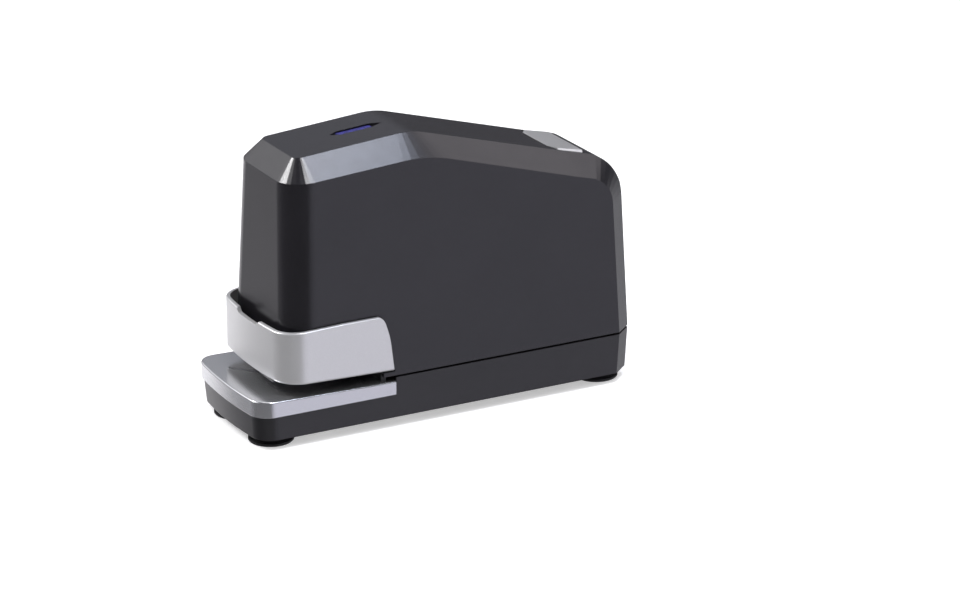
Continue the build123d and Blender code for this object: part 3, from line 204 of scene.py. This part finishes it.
# ---------------------------------------------------------------- materials
HOOD = moulded("hood_plastic", (0.0098, 0.0093, 0.0115), 0.25, edge=0.4 * MM)
BASE = moulded("base_plastic", (0.0118, 0.0113, 0.0132), 0.34, edge=0.5 * MM)
# the last colour is painted shade for the faces that look down, such as the underside of the nose
SILVER = painted("silver_paint", (0.545, 0.545, 0.55), 0.33, 0.6, (0.012, 0.012, 0.013))
TRAY_SILVER = painted("tray_paint", (0.54, 0.545, 0.56), 0.17, 0.85)
BUTTON_SILVER = painted("button_paint", (0.56, 0.56, 0.56), 0.32, 0.7)
RUBBER = rubber("foot_rubber", (0.010, 0.010, 0.011))
ZINC = steel("zinc_steel", (0.56, 0.58, 0.62), 0.36, "y", (0.66, 0.65, 0.58))
BRIGHT = steel("bright_steel", (0.68, 0.69, 0.70), 0.22, "y")
IRON = steel("yoke_iron", (0.30, 0.30, 0.31), 0.42, "z")
BLACK_PLASTIC = moulded("black_plastic", (0.014, 0.014, 0.015), 0.42, 0.5 * MM, 0.006 * MM)
WHITE_PLASTIC = moulded("white_plastic", (0.72, 0.70, 0.66), 0.38, 0.5 * MM, 0.004 * MM, 0.03)
COPPER = enamelled_wire("copper_wire")
GREEN = board("board_green")
ALUMINIUM = steel("fin_aluminium", (0.70, 0.71, 0.72), 0.34, "x")
BLUE = lens("blue_lens")

BY_SLOT = {
    "hood": HOOD,
    "base": BASE,
    "silver": SILVER,
    "foot_rubber": RUBBER,
    "zinc_steel": ZINC,
    "bright_steel": BRIGHT,
    "yoke_iron": IRON,
    "black_plastic": BLACK_PLASTIC,
    "white_plastic": WHITE_PLASTIC,
    "copper_wire": COPPER,
    "board_green": GREEN,
    "fin_aluminium": ALUMINIUM,
    "blue_lens": BLUE,
}


for part in frame["record"]["subparts"]:
    piece = NODES[part["node"]]
    piece.data.materials.clear()
    piece.data.materials.append(BY_SLOT[part["material_slot"]])
NODES["release_button"].data.materials[0] = BUTTON_SILVER
NODES["anvil_tray"].data.materials[0] = TRAY_SILVER


# ---------------------------------------------------------------- floor, lights, camera
FLOOR_HALF = 6.0
FLOOR_CLOUD = 0.4
FLOOR_GLOW = 0.46
LIGHTS_LOOK_AT = Vector((0, 0, 70 * MM))
AMBIENT = (0.11, 0.108, 0.117)
# Soft glows in the room: azimuth, elevation, inner and outer angle in degrees, colour.
GLOWS = (
    # flat sides of hood, base and nose
    (126, -12, 12, 46, (0.75, 0.74, 0.86)),
    # slope at the front of the hood and the round corner beside it
    (-68, 24, 8, 30, (1.05, 1.04, 1.07)),
    (-38, 38, 5, 28, (2.8, 2.8, 2.85)),
    # crown and tray top
    (-112, 34, 12, 26, (0.28, 0.29, 0.32)),
    # front of hood, nose and base
    (-94, -31, 8, 35, (1.2, 1.18, 1.21)),
    (-64, -24, 4, 48, (0.18, 0.178, 0.19)),
    # facets of the release button
    (-147, 34, 5, 17, (1.4, 1.4, 1.4)),
    (138, 23, 4, 16, (2.4, 2.35, 2.4)),
    # rear part of the sloping band, and the upright chamfer at the rear
    (180, 45, 5, 22, (1.75, 1.65, 1.72)),
    (199, -17, 8, 30, (0.68, 0.68, 0.72)),
    # below the horizon, for faces that look down
    (60, -60, 10, 36, (0.35, 0.35, 0.36)),
)
CAMERA_AZIMUTH = 61.684
CAMERA_ELEVATION = 20.024
CAMERA_DISTANCE = 1686.68 * MM
CAMERA_TARGET_HEIGHT = 60 * MM
CAMERA_TARGET_RIGHT = 30.454 * MM
CAMERA_TARGET_DOWN = 11.982 * MM
CAMERA_LENS = 134.71
CAMERA_SENSOR = 36


def direction(azimuth, elevation):
    """Unit vector: azimuth 0 is in front of the nose, 90 on the right, in degrees."""
    a, e = math.radians(azimuth), math.radians(elevation)
    return Vector((math.sin(a) * math.cos(e), -math.cos(a) * math.cos(e), math.sin(e)))


def material_of_floor():
    s = Shader("floor", roughness=0.6)
    s.base(s.colours(s.noise(FLOOR_CLOUD), (0.74, 0.74, 0.74), (0.76, 0.76, 0.76)))
    s.bsdf.inputs["Emission Color"].default_value = (1, 1, 1, 1)
    s.bsdf.inputs["Emission Strength"].default_value = FLOOR_GLOW
    return s.material


def make_floor():
    side = FLOOR_HALF
    corners = [(-side, -side, 0), (side, -side, 0), (side, side, 0), (-side, side, 0)]
    mesh = bpy.data.meshes.new("floor")
    mesh.from_pydata(corners, [], [(0, 1, 2, 3)])
    mesh.materials.append(material_of_floor())
    floor = bpy.data.objects.new("floor", mesh)
    bpy.context.scene.collection.objects.link(floor)
    floor.visible_glossy = False


def softbox(name, azimuth, elevation, distance, width, height, radiance, colour=(1, 1, 1), seen=True):
    """A soft rectangular light that looks at the middle of the object.  Unseen, it makes no reflection."""
    light = bpy.data.lights.new(name, "AREA")
    light.shape = "RECTANGLE"
    light.size = width
    light.size_y = height
    light.color = colour
    light.energy = radiance * math.pi * width * height
    lamp = bpy.data.objects.new(name, light)
    bpy.context.scene.collection.objects.link(lamp)
    lamp.visible_glossy = seen
    back = direction(azimuth, elevation)
    lamp.location = LIGHTS_LOOK_AT + back * distance
    lamp.rotation_mode = "QUATERNION"
    lamp.rotation_quaternion = back.to_track_quat("Z", "Y")


def make_world():
    """A dim studio room with soft glows in it."""
    world = bpy.data.worlds.new("studio")
    world.use_nodes = True
    world.cycles.sampling_method = "NONE"
    nodes, links = world.node_tree.nodes, world.node_tree.links
    place = nodes.new("ShaderNodeTexCoord").outputs["Generated"]
    total = nodes.new("ShaderNodeRGB").outputs["Color"]
    total.default_value = (*AMBIENT, 1)
    for azimuth, elevation, inner, outer, colour in GLOWS:
        dot = nodes.new("ShaderNodeVectorMath")
        dot.operation = "DOT_PRODUCT"
        dot.inputs[1].default_value = direction(azimuth, elevation)
        links.new(place, dot.inputs[0])
        share = nodes.new("ShaderNodeMapRange")
        share.interpolation_type = "SMOOTHSTEP"
        share.inputs["From Min"].default_value = math.cos(math.radians(outer))
        share.inputs["From Max"].default_value = math.cos(math.radians(inner))
        links.new(dot.outputs["Value"], share.inputs["Value"])
        add = nodes.new("ShaderNodeMix")
        add.data_type = "RGBA"
        add.blend_type = "ADD"
        add.clamp_result = False
        factor, first, second = (i for i in add.inputs if i.enabled and i.name in "Factor A B")
        links.new(share.outputs["Result"], factor)
        links.new(total, first)
        second.default_value = (*colour, 1)
        total = next(o for o in add.outputs if o.enabled)
    links.new(total, nodes["Background"].inputs["Color"])
    bpy.context.scene.world = world


def make_lights():
    make_world()
    softbox("overhead_front", -39, 39, 1.1, 0.24, 0.2, 34, (1.0, 0.99, 1.0))
    softbox("overhead_side", 104, 73, 1.1, 0.18, 0.18, 38, (1.0, 1.0, 1.02))
    softbox("overhead_rear", 124, 70, 0.54, 0.16, 0.16, 9.4, (0.88, 0.945, 1.14))
    softbox("fill", 60, 55, 1.6, 1.2, 1.2, 3.0, (1.0, 1.0, 1.0), seen=False)


def make_camera():
    """Seen from the right of the nose, a little from above, with a long lens."""
    back = direction(CAMERA_AZIMUTH, CAMERA_ELEVATION)
    turn = math.radians(CAMERA_AZIMUTH)
    right = Vector((math.cos(turn), math.sin(turn), 0))
    up = back.cross(right)
    target = Vector((0, 0, CAMERA_TARGET_HEIGHT)) + right * CAMERA_TARGET_RIGHT - up * CAMERA_TARGET_DOWN
    data = bpy.data.cameras.new("camera")
    data.sensor_width = CAMERA_SENSOR
    data.lens = CAMERA_LENS
    data.clip_start = 0.05
    data.clip_end = 50
    camera = bpy.data.objects.new("camera", data)
    camera.location = target + back * CAMERA_DISTANCE
    camera.rotation_mode = "QUATERNION"
    camera.rotation_quaternion = back.to_track_quat("Z", "Y")
    bpy.context.scene.collection.objects.link(camera)
    bpy.context.scene.camera = camera


make_floor()
make_lights()
make_camera()
bpy.context.scene.view_settings.view_transform = "Standard"
